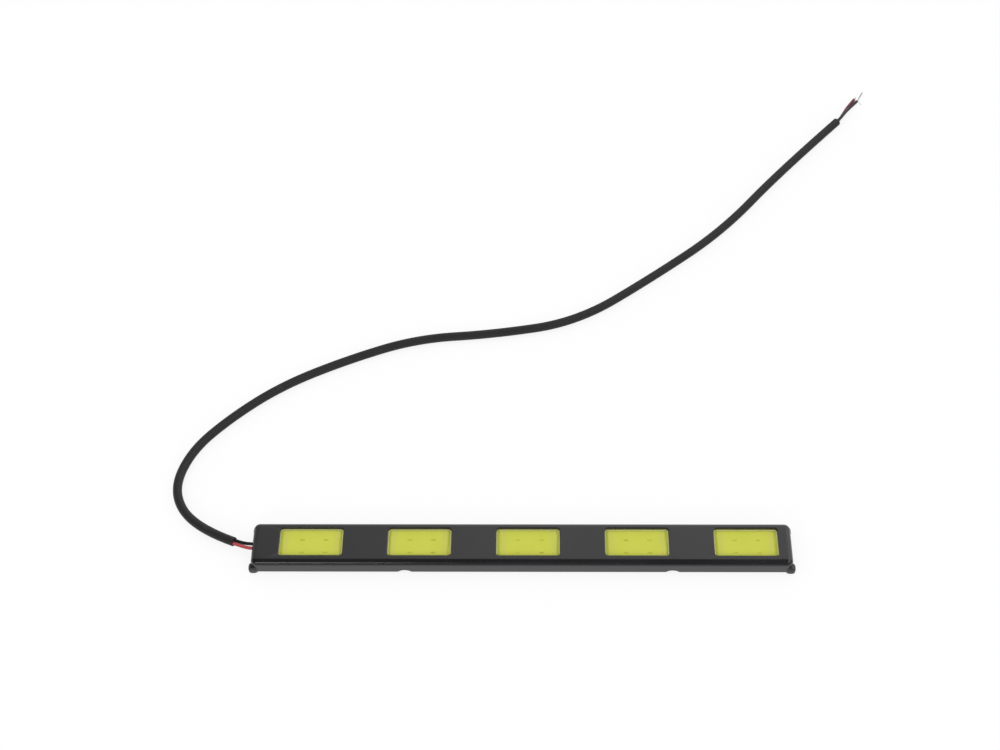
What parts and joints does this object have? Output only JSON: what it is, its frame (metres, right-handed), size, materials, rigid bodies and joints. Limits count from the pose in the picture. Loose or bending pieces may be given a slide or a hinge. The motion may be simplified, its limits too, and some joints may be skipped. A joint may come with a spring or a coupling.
{
  "type": "led light strip",
  "caption": "Slim car running-light bar: a black drawn sheet-metal shell with a row of rounded windows over yellow LED fields, foam tape below and a two-core cable with bare ends.",
  "frame": {"origin": "on the surface that the strip rests on or is stuck to, under the centre of the shell", "axes": "+X along the strip, away from the end where the cable leaves; +Y to the rear; +Z out of the lit face"},
  "size_m": [0.2446, 0.2176, 0.0056],
  "materials": {
    "black_enamel": "gloss black enamel on thin aluminium sheet",
    "board_mask": "white solder mask on an aluminium-core board",
    "resistor_body": "matt black chip resistor",
    "potting_resin": "black potting resin",
    "foam_tape": "dark grey acrylic foam tape",
    "cable_sheath": "satin black cable sheath",
    "phosphor_gel": "satin yellow-green phosphor silicone",
    "dam_silicone": "pale translucent silicone",
    "led_die": "bare light-emitting die",
    "red_insulation": "satin red wire insulation",
    "black_insulation": "satin black wire insulation",
    "tinned_strands": "tinned copper strands",
    "solder": "bright solder"
  },
  "bodies": {
    "root": {"housing": "black_enamel", "led_board": "board_mask", "ballast_resistors": "resistor_body", "resin_fill": "potting_resin", "mounting_tape": "foam_tape", "cable_jacket": "cable_sheath", "phosphor_1": "phosphor_gel", "dam_1": "dam_silicone", "led_dies_1": "led_die", "phosphor_2": "phosphor_gel", "dam_2": "dam_silicone", "led_dies_2": "led_die", "phosphor_3": "phosphor_gel", "dam_3": "dam_silicone", "led_dies_3": "led_die", "phosphor_4": "phosphor_gel", "dam_4": "dam_silicone", "led_dies_4": "led_die", "phosphor_5": "phosphor_gel", "dam_5": "dam_silicone", "led_dies_5": "led_die", "red_core_at_strip": "red_insulation", "red_core_free_end": "red_insulation", "red_strands_at_strip": "tinned_strands", "red_strands_free_end": "tinned_strands", "red_solder_joint": "solder", "black_core_at_strip": "black_insulation", "black_core_free_end": "black_insulation", "black_strands_at_strip": "tinned_strands", "black_strands_free_end": "tinned_strands", "black_solder_joint": "solder"}
  },
  "joints": []
}
